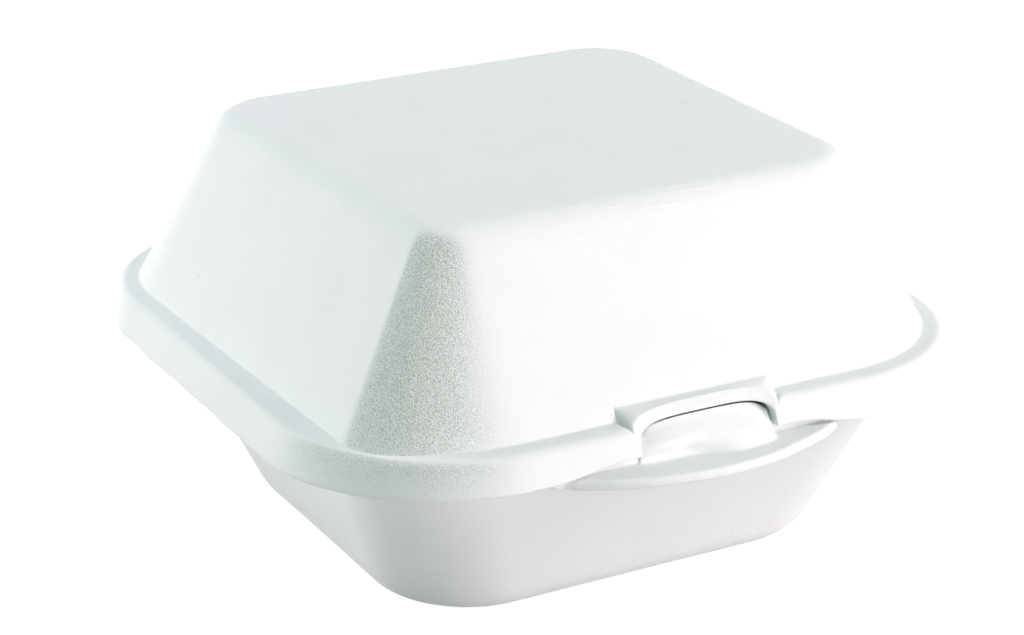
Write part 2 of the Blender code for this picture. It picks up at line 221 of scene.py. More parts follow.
class TraySizes(bpy.types.PropertyGroup):
    """Sizes of the tray's walls, underside and rim."""

    wall_inset: metres("Wall inset", "Inset of the walls at the rim", 0.0116)
    wall_corner: metres("Wall corner radius", "Radius of the walls' corners at the rim", 0.0224)
    foot_side: metres("Foot inset, sides", "Inset of the underside at the sides", 0.02665)
    foot_front: metres("Foot inset, front", "Inset of the underside at the front", 0.0261)
    foot_back: metres("Foot inset, back", "Inset of the underside at the back", 0.0350)
    foot_corner: metres("Foot corner radius", "Radius of the underside's corners", 0.0208)
    foot_radius: metres("Foot radius", "Radius of the bend round the underside", 0.0105)
    foot_band: metres("Foot band", "Width of the flat band inside the underside's bend", 0.0125)
    rim_bend: metres("Rim bend radius", "Radius of the bends along the rim", 0.0012)
    rim_leg: metres("Rim leg", "How far the rim is turned down inside the skirt", 0.0038)


class LatchSizes(bpy.types.PropertyGroup):
    """Sizes of the hood and window in the lid, and of the lip and button on the tray."""

    hood_half: metres("Hood half width", "Half the width of the hood over the button", 0.0172)
    hood_height: metres("Hood height", "Height of the hood above the ledge", 0.0024)
    setback: metres("Hood setback", "How far the hood's top leans back from the skirt's slope", 0.0017)
    brow_half: metres("Brow half width", "Half the width of the hood's outer bend", 0.0160)
    brow_dip: metres("Brow dip", "How far the hood's bend dips below the ledge at its ends", 0.0005)
    boss: metres("Boss", "How far the skirt's bend rises beside the hood", 0.0005)
    boss_width: metres("Boss width", "Width of that rise", 0.0010)
    window_half: metres("Window half width", "Half the width of the window", 0.0150)
    lintel: metres("Lintel", "How far the window's top lies below the sheet", 0.0001)
    relief: metres("Skirt relief", "Rise of the skirt's lower edge beside the window", 0.0016)
    relief_ends: pair("Relief ends", "Where the raised edge ends, on the left and right", (0.033, 0.037))
    lip_reach: metres("Lip reach", "How far the lip stands out past the skirt", 0.0067)
    lip_half: metres("Lip half width", "Half the width of the lip's arc at the skirt", 0.0265)
    lip_gap: metres("Lip gap", "Gap between the lip and the skirt's lower edge", 0.0003)
    button_gap: metres("Button gap", "Gap between the button's ends and the window", 0.0005)
    headroom: metres("Headroom", "Gap between the button's top and the window", 0.0012)
    belly: metres("Belly", "How far the button bulges out of the window", 0.0034)
    belly_height: metres("Belly height", "Height of the button's widest line", 0.0029)
    foot: pair("Foot", "How far the button's foot stands out, on the left and right", (0.0002, 0.0046))
    foot_change: pair("Foot change", "Where the foot starts and ends to widen", (-0.0060, 0.0055))
    shoulder: metres("Button shoulder", "How far the button's top edge stands out", 0.0009)
    crown_back: metres("Crown setback", "How far the crown lies behind the button's top edge", 0.0007)
    crown_rise: metres("Crown rise", "How far the crown rises above the button's top edge", 0.0011)


class FoldSizes(bpy.types.PropertyGroup):
    """Sizes of the pressed fold at the back."""

    half: metres("Half width", "Half the width of the fold's tabs", 0.036)
    end_radius: metres("End radius", "Radius of the tabs' outer corners", 0.003)
    slit: metres("Slit", "Gap between the two tabs' outer edges along the fold", 0.0003)
    web: metres("Web", "Thickness of the pressed foam that joins the tabs", 0.00035)
    web_leg: metres("Web leg", "How far the pressed foam runs onto each tab's edge", 0.0009)


class FoamFinish(bpy.types.PropertyGroup):
    """Colour, sheen and grain of the foam."""

    colour: colour("Colour", "Colour of the foam skin", (0.90, 0.925, 0.925))
    # The pit colour is painted shade at the bottom of a burst cell
    pit_colour: colour("Pit colour", "Colour at the bottom of a burst cell", (0.50, 0.53, 0.54))
    speck_colour: colour("Speck colour", "Colour of the small soiled specks", (0.72, 0.75, 0.75))
    roughness: share("Roughness", "Roughness of the foam skin", 0.35)
    sheen: share("Sheen", "Strength of the skin's reflections", 0.08)
    cell: metres("Cell size", "Size of the foam's cells", 0.00032)
    grain: metres("Grain", "Height of the skin's grain", 0.00004)
    stretched: share("Stretched grain", "How many times higher stretched skin's grain is", 3.0, max=9.0)
    # The pore colour is painted shade: open pores darkened to stand for the shade band on the bend left of
    # the latch
    pore_colour: colour("Pore colour", "Colour of the open pores in stretched skin", (0.60, 0.65, 0.63))
    dimple: metres("Dimples", "Depth of the shallow dimples in the skin", 0.00003)
    wrinkle: metres("Wrinkles", "Height of the fine wrinkles on the lid", 0.00006)


class StageSettings(bpy.types.PropertyGroup):
    """Camera, lamps and floor."""

    azimuth: angle("Azimuth", "Camera's direction, from the front to the right", math.radians(-28.773))
    elevation: angle("Elevation", "Height angle of the camera", math.radians(21.385))
    roll: angle("Roll", "Roll of the camera", math.radians(-0.02))
    distance: metres("Distance", "Distance from the camera to what it looks at", 0.5839)
    aim: point("Aim", "Point that the camera looks at", (-0.001756, 0.000960, 0.039424))
    lens: share("Lens", "Focal length in millimetres", 98.44, max=300.0)
    world: share("World", "Strength of the light from all round", 0.16, max=5.0)
    world_colour: colour("World colour", "Colour of the light from all round", (0.2, 1.0, 0.5))
    lamp_distance: metres("Lamp distance", "Distance from each lamp to the box", 0.9)
    lamp_size: metres("Lamp size", "Width and height of each square lamp", 0.40)
    lamp_level: share("Lamp level", "How bright all the lamps are together", 1.0, max=10.0)
    paper: share("Paper", "How much light the floor gives back", 0.60)
    paper_glow: share("Paper glow", "Light added to the floor where it is looked at", 0.84)


class FoamBox(bpy.types.PropertyGroup):
    """All settings of the foam box."""

    rim: PointerProperty(type=RimSizes)
    lid: PointerProperty(type=LidSizes)
    tray: PointerProperty(type=TraySizes)
    latch: PointerProperty(type=LatchSizes)
    fold: PointerProperty(type=FoldSizes)
    finish: PointerProperty(type=FoamFinish)
    stage: PointerProperty(type=StageSettings)
    arch_wide: count("Arch steps across", "Sections from the latch's middle to its knee", 24)
    arch_high: count("Arch steps down", "Sections from the latch's knee to its end", 12)
    front_run: count("Front steps", "Sections from the latch's end to a corner", 22)
    corner_steps: count("Corner steps", "Sections round each corner", 44)
    side_steps: count("Side steps", "Sections along each side", 60)
    back_steps: count("Back steps", "Sections from the middle of the back to a tab's end", 24)
    tab_steps: count("Tab steps", "Sections round a tab's outer corner", 8)


def mix(a, b, part):
    """The value that lies the given part of the way from a to b."""
    return a + (b - a) * part


def smooth_step(low, high, value):
    """0 below low, 1 above high, and a smooth rise between them."""
    part = min(max((value - low) / (high - low), 0.0), 1.0)
    return part * part * (3.0 - 2.0 * part)


def rounded(before, corner, after, radius, steps):
    """Points of a rounded corner, which takes no more than its share of each straight beside it."""
    back = before - corner
    ahead = after - corner
    turn = math.pi - back.angle(ahead)
    reach = max(radius * math.tan(turn / 2), LEAST_REACH)
    reach = min(reach, back.length * LEG_SHARE, ahead.length * LEG_SHARE)
    start = corner + back.normalized() * reach
    end = corner + ahead.normalized() * reach
    points = []
    for i in range(steps + 1):
        part = i / steps
        points.append(start.lerp(corner, part).lerp(corner.lerp(end, part), part))
    return points


def traced(places, radii, bends, runs):
    """Points along a section through its corners' places, with every inner corner rounded."""
    points = [places[0]]
    stops = [(places[-1],)]
    bent = [rounded(*places[i - 1:i + 2], radii[i], bends[i]) for i in range(1, len(places) - 1)]
    for bend, run in zip(bent + stops, runs[1:]):
        start = points[-1]
        points += [start.lerp(bend[0], i / run) for i in range(1, run)]
        points += bend
    return points


class BoxForm:
    """The sections of both pieces, from the settings and the sizes that follow from them.

    The powers shape the arches of the window, brow and button, and space the sections beside the latch.
    TAB_ROOT is the share of a tab over which the skirt turns into it. The bends are radii on the button,
    and the insides are shares of the way from the button to the wall behind it.
    """

    WINDOW_POWER = 4.0
    BROW_POWER = 3.0
    BUTTON_POWER = 3.6
    RUN_POWER = 1.6
    TAB_ROOT = 0.3
    FOOT_BEND = 0.0012
    BELLY_BEND = 0.004
    SHOULDER_BEND = 0.003
    INSIDE_NEAR = 0.4
    INSIDE_FAR = 0.7

    def __init__(self, box):
        self.box = box
        self.rim = box.rim
        self.lid = box.lid
        self.tray = box.tray
        self.latch = box.latch
        self.fold = box.fold
        lid, rim, latch = self.lid, self.rim, self.latch
        self.flare = lid.skirt_flare / lid.skirt_height
        self.stretch = math.hypot(1.0, self.flare)
        self.ledge_height = lid.skirt_height + lid.ledge_rise
        self.ledge_foot = lid.skirt_flare + lid.ledge_width
        self.rim_top = lid.skirt_height - rim.sheet - rim.seat_gap
        self.rim_low = self.rim_top - self.tray.rim_leg
        self.rim_end = self.rim_low + 2 * rim.cut_edge
        self.hood_top = self.ledge_height + latch.hood_height
        self.window_top = self.hood_top - rim.sheet - latch.lintel
        self.straight = rim.width / 2 - rim.corner
        self.reach = FOLD.y - rim.depth / 2 - self.fold.slit / 2
        self.knee_step = box.arch_wide / (box.arch_wide + box.arch_high)

    def front_places(self):
        """Places from left to right along the front: the latch's arch, and a run on each side of it."""
        steps = self.box.arch_wide + self.box.arch_high
        half = [Place(i / steps, 0.0, 1) for i in range(steps + 1)]
        run = self.box.front_run
        half += [Place(1.0, (i / run) ** self.RUN_POWER, 1) for i in range(1, run)]
        return [place._replace(sign=-1) for place in reversed(half[1:])] + half

    def arch(self, even, power):
        """A point on a flat-topped arch at an even share of its length: across and up, each from 0 to 1."""
        knee = 0.5 ** (1.0 / power)
        if even <= self.knee_step:
            across = knee * even / self.knee_step
            return across, (1.0 - across ** power) ** (1.0 / power)
        up = knee * (1.0 - even) / (1.0 - self.knee_step)
        return (1.0 - up ** power) ** (1.0 / power), up

    def along(self, place, half, inside_arch):
        """Where a corner stands along the front: half is its row's half width at the arch's end."""
        here = mix(half, self.straight, place.run) if place.run > 0.0 else half * inside_arch
        return place.sign * here

    def skirt(self, height, depth=0.0, setback=0.0):
        """Inset of the skirt's outside at a height, or of a surface that lies deeper inside it."""
        lean = setback * max(height - self.rim_top, 0.0) / (self.hood_top - self.rim_top)
        return self.flare * height + lean + depth * self.stretch

    def relief(self, x):
        """Height of the skirt's lower edge at x along the front, beside the window."""
        latch = self.latch
        left, right = latch.relief_ends
        end, height = (right, -self.lid.drop) if x > 0.0 else (left, 0.0)
        return mix(latch.relief, height, smooth_step(latch.hood_half, end, abs(x)))

    def tab(self, x):
        """How far the fold's tab stands out at x, from 0 to 1, with rounded ends."""
        past = (abs(x) - (self.fold.half - self.fold.end_radius)) / self.fold.end_radius
        return math.sqrt(1.0 - min(max(past, 0.0), 1.0) ** 2)

    def lid_section(self, top_inset, edge, shoulder, crease, tab=0.0, setback=0.0, rows=None):
        """Corners of the lid's section, from its top's outside round the skirt's edge to its top's inside.

        edge, shoulder and crease are heights: of the skirt's lower edge, of the ledge's outer bend and of
        the line where the ledge meets the dome. setback says how far the hood's top leans back. rows gives
        each kind of row's place along the front.
        """
        lid, sheet, cut = self.lid, self.rim.sheet, self.rim.cut_edge
        slope = (top_inset - self.ledge_foot) / (lid.height - self.ledge_height)
        lean = math.hypot(1.0, slope)
        rows = rows or {}

        def corner(kind, inset, height, radius=0.0, tight=0.0, short=0.0):
            return Corner(inset, height, radius, rows.get(kind), None, tight, short)

        def dome(kind, height, depth, radius):
            inset = self.ledge_foot + slope * (height - self.ledge_height) + depth * lean
            up = self.dome_share(height)
            return corner(kind, inset, height, radius, mix(*lid.tight, up), mix(*lid.short, up))

        def band(inset, height):
            return corner("plain", inset + lid.top_band, height, 0.0, lid.tight[1], lid.short[1])

        def skirt(height, depth=0.0):
            return self.skirt(height, depth, setback)

        top_inside = dome("plain", lid.height - sheet, sheet, lid.top_radius - sheet)
        tips = (
            (skirt(edge + 2.5 * cut), edge + 2.5 * cut, skirt(edge + sheet), edge + sheet),
            (skirt(edge + 2 * cut), edge + 2 * cut, -self.reach, edge + sheet),
            (skirt(edge), edge, -self.reach, edge),
        )
        root, above, below = [(mix(a, c, tab), mix(b, d, tab)) for a, b, c, d in tips]
        brow_inside = max(shoulder - sheet, edge + self.latch.lintel)
        return [
            band(top_inset, lid.height),
            dome("plain", lid.height, 0.0, lid.top_radius),
            dome("crease", crease, 0.0, lid.crease),
            corner("brow", skirt(shoulder), shoulder, lid.brow),
            corner("edge", *root, lid.crease),
            corner("edge", *above, cut),
            corner("edge", *below, cut),
            corner("edge", skirt(edge, sheet), edge, cut),
            corner("brow_inside", skirt(brow_inside, sheet), brow_inside, lid.crease),
            dome("crease_inside", crease - sheet, sheet, lid.crease),
            top_inside,
            band(top_inside.inset, lid.height - sheet),
        ]

    def lid_front(self, place, rag):
        """The lid's section on the front side, through the ledge or the hood and window."""
        latch, sheet = self.latch, self.rim.sheet
        block = min(place.even / self.knee_step, 1.0)
        drop = min((1.0 - place.even) / (1.0 - self.knee_step), 1.0)
        across, up = self.arch(place.even, self.WINDOW_POWER)
        brow_across, brow_up = self.arch(place.even, self.BROW_POWER)
        rows = {
            "plain": self.along(place, self.rim.fan, place.even),
            "crease": self.along(place, latch.hood_half, block),
            "brow": self.along(place, latch.brow_half, brow_across),
            "edge": self.along(place, latch.window_half, across),
            "brow_inside": self.along(place, latch.hood_half - sheet, across),
            "crease_inside": self.along(place, latch.hood_half - sheet, block),
        }
        relief = self.relief(rows["edge"])
        edge = relief + (self.window_top - relief) * up + rag * (1.0 - up)
        past = (abs(rows["brow"]) - latch.brow_half) / latch.boss_width
        if past > 0.0:
            rise = latch.boss * past * math.e - latch.brow_dip
            shoulder = self.lid.skirt_height + rise * math.exp(-past)
        else:
            shoulder = mix(self.lid.skirt_height - latch.brow_dip, self.hood_top, brow_up)
        crease = mix(self.ledge_height, self.hood_top, drop) if place.run == 0.0 else self.ledge_height
        setback = latch.setback * brow_up
        return self.lid_section(self.lid.top_front, edge, shoulder, crease, 0.0, setback, rows)

    def lid_back(self, x, rag):
        """The lid's section on the fold side at x, with a tab turned out along the fold."""
        tab = self.tab(x)
        edge = (rag - self.lid.drop) * (1.0 - smooth_step(0.0, self.TAB_ROOT, tab))
        return self.lid_section(self.lid.top_back, edge, self.lid.skirt_height, self.ledge_height, tab)

    def lid_plain(self, top_inset, edge):
        """The lid's section on a plain side."""
        return self.lid_section(top_inset, edge, self.lid.skirt_height, self.ledge_height)

    def leg(self, height):
        """Inset of the tray rim's turned-down leg, which runs inside the lid's skirt."""
        return self.skirt(height, self.rim.sheet + self.rim.nest_gap)

    def lip_radius(self):
        """Radius of the lip's arc."""
        return (self.latch.lip_half ** 2 + self.latch.lip_reach ** 2) / (2 * self.latch.lip_reach)

    def lip_tip(self, x):
        """Inset of the lip's outer edge along the front."""
        radius = self.lip_radius()
        return radius - math.sqrt(max(radius ** 2 - x ** 2, 0.0)) - self.latch.lip_reach

    def lip_end(self):
        """The place along the front where the lip is drawn in behind the skirt."""
        radius = self.lip_radius()
        fall = self.latch.lip_reach + self.leg(-self.latch.lip_gap)
        return math.sqrt(radius ** 2 - (radius - fall) ** 2)

    def tray_section(self, foot_inset, tip, low, high, pillow=0.0, foot=0.0, bead_top=None, rows=None):
        """Corners of the tray's section, from its underside round its rim to its floor.

        tip is the inset of the rim's outer edge, low and high are the heights below and above that edge,
        pillow says how far the button stands out, foot how far its foot does, and bead_top is the height of
        the button's top.
        """
        tray, latch, sheet, cut = self.tray, self.latch, self.rim.sheet, self.rim.cut_edge
        depth = self.rim.height
        slope = (foot_inset - tray.wall_inset) / depth
        lean = math.hypot(1.0, slope)
        rows = rows or {}
        bead_top = self.rim_top if bead_top is None else bead_top

        def outer(height):
            return tray.wall_inset - slope * height

        def wall(height, inward, radius):
            return Corner(outer(height) + inward * lean, height, radius, rows.get("plain"), outer(height))

        def corner(kind, inset, height, radius=0.0):
            return Corner(inset, height, radius, rows.get(kind))

        def band(height):
            return Corner(foot_inset + tray.foot_band, height, 0.0, rows.get("plain"), outer(height))

        under = self.rim_top - sheet
        under_bead = bead_top - sheet
        bend = wall(under, 0.0, tray.rim_bend)
        bend_inside = wall(self.rim_top, sheet, tray.rim_bend + sheet)

        flush = tip > self.leg(high) - cut
        tip = self.leg(high) if flush else tip
        root_height = high + cut if flush else high
        belly_height = mix((self.rim_top + high) / 2, latch.belly_height, pillow)
        belly = self.leg(belly_height) - latch.belly * pillow
        shoulder = self.leg(self.rim_top) - latch.shoulder * pillow
        root = self.leg(root_height) - foot * pillow
        crown = mix(self.leg(self.rim_top) + sheet, shoulder + latch.crown_back, pillow)
        crown_top = bead_top + latch.crown_rise * pillow
        wide = sheet * self.stretch
        shoulder_inside = shoulder + wide
        return [
            band(-depth),
            wall(-depth, 0.0, tray.foot_radius),
            bend,
            corner("inside", mix(shoulder_inside, bend.inset, self.INSIDE_FAR), under, tray.rim_bend),
            corner("inside", mix(shoulder_inside, bend.inset, self.INSIDE_NEAR), under_bead, tray.rim_bend),
            corner("inside", shoulder_inside, under_bead, tray.rim_bend),
            corner("inside", belly + wide, belly_height - sheet / 4, tray.rim_bend),
            corner("inside", root + wide, low, cut),
            corner("lip", tip, low, cut),
            corner("lip", tip, high, cut),
            corner("button", root, root_height, mix(cut, self.FOOT_BEND, pillow)),
            corner("button", belly, belly_height, mix(tray.rim_bend, self.BELLY_BEND, pillow)),
            corner("button", shoulder, bead_top, mix(tray.rim_bend, self.SHOULDER_BEND, pillow)),
            corner("button", crown, crown_top, mix(tray.rim_bend, cut / 3, pillow)),
            corner("button", mix(crown, bend_inside.inset, self.INSIDE_NEAR), self.rim_top, tray.rim_bend),
            bend_inside,
            wall(sheet - depth, sheet, tray.foot_radius - sheet),
            band(sheet - depth),
        ]

    def tray_front(self, place, rag):
        """The tray's section on the front side, with the lip and the latch button."""
        latch, sheet = self.latch, self.rim.sheet
        button_half = latch.window_half - latch.button_gap
        plain = self.along(place, self.rim.fan, place.even)
        across, up = self.arch(place.even, self.BUTTON_POWER)
        rows = {
            "plain": plain,
            "lip": plain,
            "button": self.along(place, button_half, across),
            "inside": self.along(place, button_half - sheet, across),
        }
        tucked = smooth_step(self.lip_end(), self.straight, abs(plain))
        low = mix(-latch.lip_gap - sheet, self.rim_low, tucked)
        high = mix(-latch.lip_gap, self.rim_end, tucked)
        top = latch.relief + (self.window_top - latch.relief) * up - latch.headroom
        tip = self.lip_tip(plain) + rag
        foot = mix(*latch.foot, smooth_step(*latch.foot_change, rows["button"]))
        bead_top = max(self.rim_top, top)
        return self.tray_section(self.tray.foot_front, tip, low, high, up, foot, bead_top, rows)

    def tray_back(self, x):
        """The tray's section on the fold side at x, where its rim runs out under the skirt to the fold."""
        tab = self.tab(x)
        low = mix(self.rim_low, -self.rim.seat_gap - self.rim.sheet, smooth_step(0.0, self.TAB_ROOT, tab))
        high = mix(self.rim_end, -self.rim.seat_gap, smooth_step(0.0, self.TAB_ROOT, tab))
        tip = mix(self.leg(high), -self.reach, tab)
        return self.tray_section(self.tray.foot_back, tip, low, high)

    def tray_plain(self, foot_inset):
        """The tray's section on a plain side, where its rim is only turned down inside the skirt."""
        return self.tray_section(foot_inset, self.leg(self.rim_end), self.rim_low, self.rim_end)

    def corner_radius(self, corner):
        """Corner radius of the outline through a corner of the side's section."""
        if corner.wall is None:
            return max(self.rim.corner - corner.inset, self.rim.cut_edge + corner.tight + corner.short)
        part = -corner.height / self.rim.height
        wall_radius = mix(self.tray.wall_corner, self.tray.foot_corner, part)
        return max(wall_radius - (corner.inset - corner.wall), self.rim.cut_edge)

    def columns(self):
        """Every section's place on the outline, anticlockwise seen from above."""
        box = self.box
        turns = [i / box.corner_steps for i in range(box.corner_steps + 1)]
        sides = [i / box.side_steps for i in range(1, box.side_steps)]
        plain_half = self.fold.half - self.fold.end_radius
        halves = [plain_half * i / box.back_steps for i in range(box.back_steps)]
        halves += [plain_half + self.fold.end_radius * math.sin(math.pi / 2 * i / box.tab_steps)
                   for i in range(box.tab_steps + 1)]
        backs = [-x for x in reversed(halves[1:])] + halves
        columns = [Column("front", 0, -1, 0.0, place) for place in self.front_places()]
        columns += [Column("corner", 1, -1, 1.0 - turn, None) for turn in turns]
        columns += [Column("side", 1, 0, part, None) for part in sides]
        columns += [Column("corner", 1, 1, turn, None) for turn in turns]
        columns += [Column("back", 0, 1, 0.0, x) for x in reversed(backs)]
        columns += [Column("corner", -1, 1, 1.0 - turn, None) for turn in turns]
        columns += [Column("side", -1, 0, 1.0 - part, None) for part in sides]
        columns += [Column("corner", -1, -1, turn, None) for turn in turns]
        return columns

    def corner_places(self, column, side, end):
        """The places of one section's corners in the box's frame."""
        places = []
        left_front = column.side_sign < 0 and column.end_sign < 0
        for at_side, at_end in zip(side, end):
            radius = self.corner_radius(at_side) - (at_side.tight if left_front else 0.0)
            straight = self.rim.width / 2 - at_side.inset - radius
            reach = self.rim.depth / 2 - at_end.inset
            if column.kind == "corner":
                turn = column.turn * math.pi / 2
                set_in = radius - (at_side.short if left_front else 0.0)
                x = column.side_sign * (straight + radius * math.cos(turn))
                y = reach - set_in + set_in * math.sin(turn)
                height = mix(at_side.height, at_end.height, math.sin(turn) ** 2)
            else:
                along = column.place if at_end.along is None else at_end.along
                x = along * straight / self.straight
                if column.kind == "front":
                    past_latch = (-along - self.latch.hood_half) / (self.straight - self.latch.hood_half)
                    x -= at_end.tight * max(past_latch, 0.0)
                y = reach
                height = at_end.height
            place = Vector((x, column.end_sign * y, self.rim.height + height))
            if at_side.tight:
                place.x += self.stand_in(place)
            places.append(self.tucked(place))
        return places

    def stand_in(self, place):
        """How far the dome's near corner stands in, to the right, at a place."""
        at_left = 1.0 - smooth_step(*STAND_IN_ACROSS, place.x)
        at_front = 1.0 - smooth_step(*STAND_IN_ALONG, place.y)
        up = self.dome_share(place.z - self.rim.height)
        return mix(*self.lid.stand_in, up) * at_left * at_front

    def dome_share(self, height):
        """How far up the dome a height lies, from 0 at its foot to 1 at its top."""
        return (height - self.ledge_height) / (self.lid.height - self.ledge_height)

    def tucked(self, place):
        """A place after the back-left corner of the skirt and rim was pressed inward."""
        past_wall = smooth_step(self.rim.width / 2 - self.tray.wall_inset, self.rim.width / 2, -place.x)
        below_ledge = smooth_step(0.0, self.ledge_height, self.rim.height + self.ledge_height - place.z)
        at_corner = smooth_step(*self.rim.tuck_range, place.y)
        place.x += self.rim.tuck * past_wall * below_ledge * at_corner
        return place

    def edge_place(self, column):
        """Where a section meets the lower edge of the skirt."""
        edge = [Corner(0.0, 0.0, 0.0)]
        if column.kind == "front":
            across = self.arch(column.place.even, self.WINDOW_POWER)[0]
            along = self.along(column.place, self.latch.window_half, across)
            return self.corner_places(column, edge, [Corner(0.0, 0.0, 0.0, along)])[0]
        if column.kind == "side":
            front, back = [self.corner_places(end, edge, edge)[0] for end in self.side_ends(column)]
            return front.lerp(back, column.turn)
        return self.corner_places(column, edge, edge)[0]

    def side_ends(self, column):
        """The two corner sections that a section on a side lies between, front and back."""
        return [Column("corner", column.side_sign, end_sign, 0.0, None) for end_sign in (-1, 1)]


def uneven(place, wave):
    """Smooth noise from about -1 to 1, mixed of a coarse and a fine one."""
    shift = Vector((wave.seed, 2.3 * wave.seed, 0.7 * wave.seed))
    return 0.6 * noise.noise(place / wave.coarse + shift) + 0.4 * noise.noise(place / wave.fine + shift)


def section_rows(form, column, plain, ends, bends, runs):
    """The points along one section: plain gives a plain side's corners, and ends the front's and back's."""
    corners = plain["side"]
    if column.kind == "side":
        near, far = [form.corner_places(corner, corners, plain[end])
                     for corner, end in zip(form.side_ends(column), ("front", "back"))]
        places = [a.lerp(b, column.turn) for a, b in zip(near, far)]
    elif column.kind == "corner":
        places = form.corner_places(column, corners, plain["front" if column.end_sign < 0 else "back"])
    else:
        places = form.corner_places(column, corners, ends[column.kind](column.place))
        corners = ends[column.kind](column.place)
    return traced(places, [corner.radius for corner in corners], bends, runs)


def lid_rows(form, column, rag):
    """The points along one of the lid's sections."""
    lid = form.lid
    front_edge = form.relief(column.side_sign * form.straight)
    plain = {
        "side": form.lid_plain(lid.top_side, rag - lid.drop),
        "front": form.lid_plain(lid.top_front, rag + front_edge),
        "back": form.lid_plain(lid.top_back, rag - lid.drop),
    }
    ends = {"front": lambda place: form.lid_front(place, rag), "back": lambda x: form.lid_back(x, rag)}
    return section_rows(form, column, plain, ends, LID_BENDS, LID_RUNS)


def tray_rows(form, column, rag):
    """The points along one of the tray's sections."""
    insets = {"side": form.tray.foot_side, "front": form.tray.foot_front, "back": form.tray.foot_back}
    plain = {end: form.tray_plain(inset) for end, inset in insets.items()}
    ends = {"front": lambda place: form.tray_front(place, rag), "back": form.tray_back}
    return section_rows(form, column, plain, ends, TRAY_BENDS, TRAY_RUNS)


def shell_mesh(name, rows, rings, faces_up):
    """A closed mesh through all the sections, with rings that fill the flat middles of its two sides."""
    grid = np.array([[tuple(point) for point in row] for row in rows])
    sides = []
    for edge, steps in ((grid[:, :1], rings[0]), (grid[:, -1:], rings[1])):
        middle = (edge.min(axis=0) + edge.max(axis=0)) / 2
        parts = np.arange(1, steps)[None, :, None] / steps
        sides.append((middle, middle + (edge - middle) * parts))
    grid = np.concatenate((sides[0][1], grid, sides[1][1][:, ::-1]), axis=1)
    columns, count_down = grid.shape[:2]
    points = np.concatenate((grid.reshape(-1, 3), sides[0][0], sides[1][0]))

    here = np.arange(columns)[:, None] * count_down + np.arange(count_down)[None, :]
    ahead = np.roll(here, -1, axis=0)
    quads = np.stack((here[:, :-1], here[:, 1:], ahead[:, 1:], ahead[:, :-1]), axis=-1).reshape(-1, 4)
    first, last = columns * count_down, columns * count_down + 1
    fans = [(first, a, b) for a, b in zip(here[:, 0], ahead[:, 0])]
    fans += [(last, b, a) for a, b in zip(here[:, -1], ahead[:, -1])]
    faces = quads.tolist() + [tuple(int(i) for i in fan) for fan in fans]
    if not faces_up:
        faces = [tuple(reversed(face)) for face in faces]
    mesh = bpy.data.meshes.new(name)
    mesh.from_pydata(points.tolist(), [], faces)
    mesh.validate()
    mesh.shade_smooth()
    return mesh


def swell(mesh, height, foot, wave):
    """Lets a formed surface rise and fall a little along its normals, but not where it meets the table."""
    size = len(mesh.vertices)
    points = np.empty(size * 3)
    normals = np.empty(size * 3)
    mesh.vertices.foreach_get("co", points)
    mesh.vertex_normals.foreach_get("vector", normals)
    points, normals = points.reshape(-1, 3), normals.reshape(-1, 3)
    rise = np.array([uneven(Vector(point), wave) for point in points])
    rise *= height * np.clip(points[:, 2] / foot, 0.0, 1.0)
    mesh.vertices.foreach_set("co", (points + normals * rise[:, None]).ravel())
    mesh.update()


def build_shell(box, name, section, rag, swelling, rings, faces_up):
    """The mesh of the lid or the tray, from the function that gives its sections' points."""
    form = BoxForm(box)
    rows = []
    for column in form.columns():
        ragged = box.rim.rag * uneven(form.edge_place(column), rag)
        rows.append(section(form, column, ragged))
    mesh = shell_mesh(name, rows, rings, faces_up)
    swell(mesh, box.rim.swell, box.rim.swell_foot, swelling)
    return mesh


def add_piece(name, mesh, material):
    """Adds one piece of foam to the scene."""
    piece = bpy.data.objects.new(name, mesh)
    mesh.materials.append(material)
    bpy.context.scene.collection.objects.link(piece)
    return piece


class Socket:
    """One output of a shader node, which can be used in a sum like a number."""

    def __init__(self, graph, output):
        self.graph = graph
        self.output = output

    def math(self, operation, *values):
        """A Math node on the given values."""
        return self.graph.node("ShaderNodeMath", {"operation": operation}, dict(enumerate(values)))

    def __add__(self, other):
        return self.math("ADD", self, other)

    def __radd__(self, other):
        return self.math("ADD", other, self)

    def __sub__(self, other):
        return self.math("SUBTRACT", self, other)

    def __rsub__(self, other):
        return self.math("SUBTRACT", other, self)

    def __mul__(self, other):
        return self.math("MULTIPLY", self, other)

    def __rmul__(self, other):
        return self.math("MULTIPLY", other, self)

    def __pow__(self, other):
        return self.math("POWER", self, other)


class Graph:
    """The nodes of one material or of the world."""

    def __init__(self, tree):
        self.tree = tree
        tree.nodes.clear()

    def node(self, kind, settings=None, inputs=None, output=0):
        """A node of any type, with its settings made first and then its sockets' values or links."""
        made = self.tree.nodes.new(kind)
        for key, value in (settings or {}).items():
            setattr(made, key, value)
        for key, value in (inputs or {}).items():
            if isinstance(value, Socket):
                self.tree.links.new(value.output, made.inputs[key])
            else:
                made.inputs[key].default_value = value
        return Socket(self, made.outputs[output] if made.outputs else None)

    def step(self, value, low, high):
        """0 where the value is below low, 1 where it is above high, and smooth between."""
        limits = {"Value": value, "From Min": low, "From Max": high, "To Min": 0.0, "To Max": 1.0}
        return self.node("ShaderNodeMapRange", {"interpolation_type": "SMOOTHSTEP"}, limits)

    def noise(self, place, size, detail=2.0, roughness=0.5):
        """Noise from 0 to 1 whose features have about the given size in metres."""
        inputs = {"Vector": place, "Scale": 1.0 / size, "Detail": detail, "Roughness": roughness}
        return self.node("ShaderNodeTexNoise", {}, inputs, "Fac")

    def blend(self, part, a, b):
        """One colour turning into another."""
        return self.node("ShaderNodeMix", {"data_type": "RGBA"}, {0: part, 6: a, 7: b}, 2)


